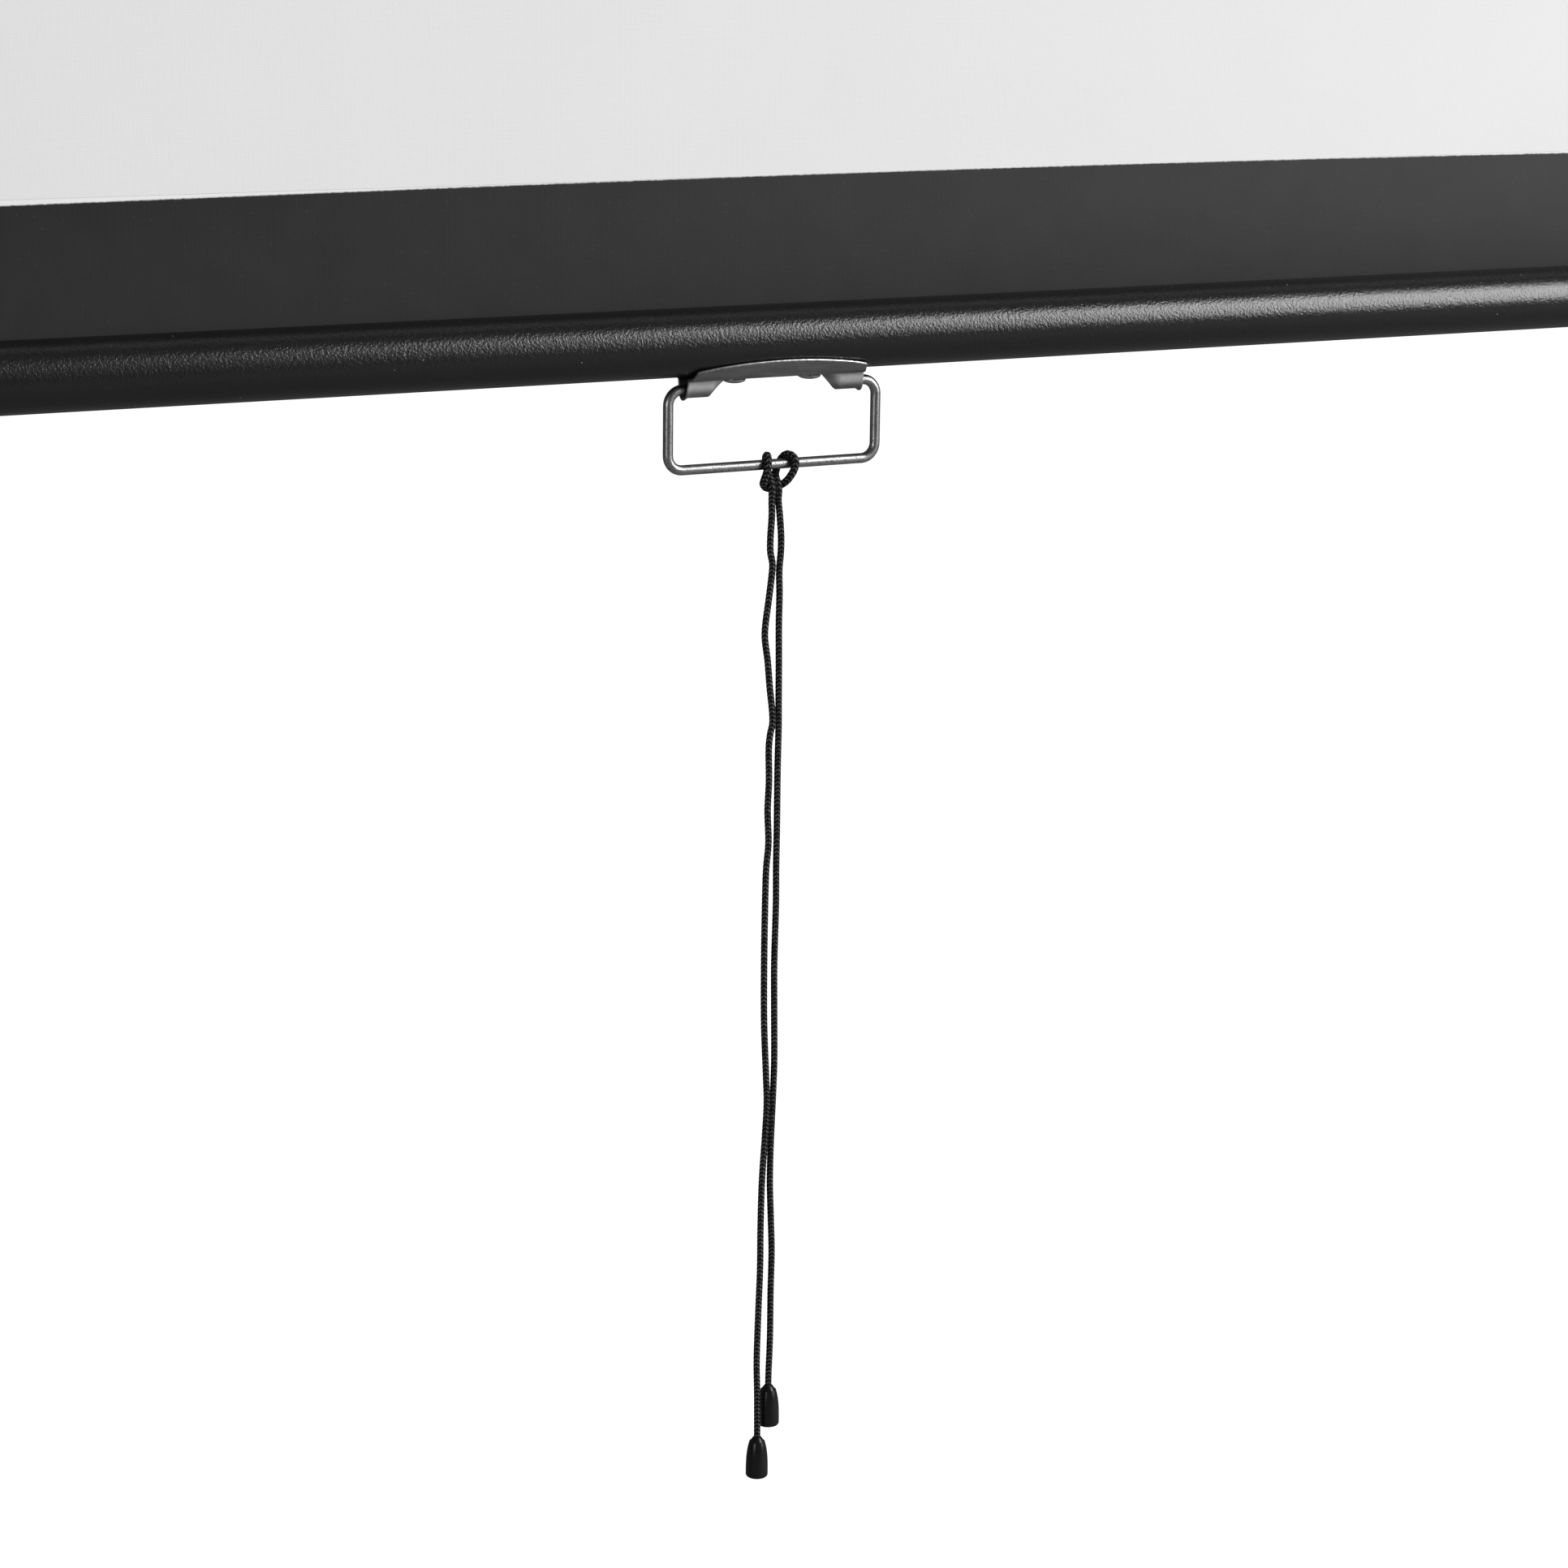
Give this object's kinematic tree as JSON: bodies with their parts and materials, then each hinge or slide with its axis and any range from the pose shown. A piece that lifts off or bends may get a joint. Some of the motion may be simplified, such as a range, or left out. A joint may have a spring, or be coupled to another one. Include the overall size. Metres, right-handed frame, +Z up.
{
  "type": "pull down projector screen",
  "caption": "Wall or ceiling hung pull down projector screen with a spring roller in a slotted case, a black bordered white sheet, a weight tube, a wire bail and a doubled pull cord.",
  "frame": {"origin": "middle of the casing's flat back, the face that lies against the wall", "axes": "+X to the right along the casing as the viewer sees it, +Y into the wall, +Z up"},
  "size_m": [1.3966, 0.068, 1.5382],
  "materials": {
    "sheet_white": "matte white coated screen cloth",
    "sheet_black": "matte black print on coated cloth",
    "case_white": "satin white powder coat",
    "cap_white": "fine moulded white plastic",
    "tube_black": "black wrinkle powder coat",
    "plug_black": "satin black moulded plastic",
    "zinc_steel": "dull zinc plated pressed steel",
    "plated_wire": "bright plated wire",
    "bare_steel": "drawn steel",
    "spring_steel": "oiled spring steel",
    "nylon": "natural nylon",
    "cord_black": "round black braid"
  },
  "bodies": {
    "housing": {"casing_shell": "case_white", "end_cap_left": "cap_white", "end_cap_right": "cap_white", "hanger_left": "zinc_steel", "hanger_right": "zinc_steel", "cap_screw_left_front": "zinc_steel", "cap_screw_left_rear": "zinc_steel", "cap_screw_right_front": "zinc_steel", "cap_screw_right_rear": "zinc_steel", "hanger_screw_left_front": "zinc_steel", "hanger_screw_left_rear": "zinc_steel", "hanger_screw_right_front": "zinc_steel", "hanger_screw_right_rear": "zinc_steel", "spring_mandrel": "bare_steel", "ratchet_wheel": "bare_steel", "spring_anchor": "nylon", "idler_bush": "nylon", "screen_fabric": "sheet_white", "masking_border": "sheet_black"},
    "roller": {"roller_tube": "bare_steel", "roller_wrap": "sheet_black", "spring_ferrule": "bare_steel", "mandrel_bearing": "nylon", "torsion_spring": "spring_steel", "idler_plug": "nylon", "idler_pin": "bare_steel", "pawl_pin_upper": "bare_steel", "pawl_pin_lower": "bare_steel"},
    "upper_pawl": {"pawl_upper": "spring_steel"},
    "lower_pawl": {"pawl_lower": "spring_steel"},
    "bottom_bar": {"bottom_border": "sheet_black", "hem_rod": "bare_steel", "weight_tube": "tube_black", "tube_plug_left": "plug_black", "tube_plug_right": "plug_black", "handle_bracket": "zinc_steel", "handle_rivet_left": "plated_wire", "handle_rivet_right": "plated_wire"},
    "bail": {"bail_handle": "plated_wire"},
    "pull_cord": {"cord_hitch": "cord_black", "cord_strand_left": "cord_black", "cord_strand_right": "cord_black", "cord_tip_lower": "plug_black", "cord_tip_upper": "plug_black", "cord_knot_lower": "cord_black", "cord_knot_upper": "cord_black"}
  },
  "joints": [
    {"name": "screen_drop", "type": "slide", "parent": "housing", "child": "bottom_bar", "axis": [0, 0, 1], "range_m": [0, 1.014], "deforming": ["screen_fabric", "masking_border"]},
    {"name": "roller_spin", "type": "hinge", "parent": "housing", "child": "roller", "pos_m": [0, -0.03535, 0.01], "axis": [1, 0, 0], "range_deg": [0, 2971]},
    {"name": "pawl_upper_swing", "type": "hinge", "parent": "roller", "child": "upper_pawl", "pos_m": [-0.6568, -0.03535, 0.023], "axis": [1, 0, 0], "range_deg": [-14, 12]},
    {"name": "pawl_lower_swing", "type": "hinge", "parent": "roller", "child": "lower_pawl", "pos_m": [-0.6568, -0.03535, -0.003], "axis": [1, 0, 0], "range_deg": [-14, 12]},
    {"name": "bail_swing", "type": "hinge", "parent": "bottom_bar", "child": "bail", "pos_m": [0, -0.016, -1.0845], "axis": [1, 0, 0], "range_deg": [-110, 110]},
    {"name": "cord_swing", "type": "hinge", "parent": "bail", "child": "pull_cord", "pos_m": [0, -0.016, -1.1134], "axis": [1, 0, 0], "range_deg": [-111, 111]}
  ],
  "couplings": [
    {"joint": "roller_spin", "follows": "screen_drop", "rad_per_m": 51.12},
    {"joint": "cord_swing", "follows": "bail_swing", "ratio": -1}
  ]
}
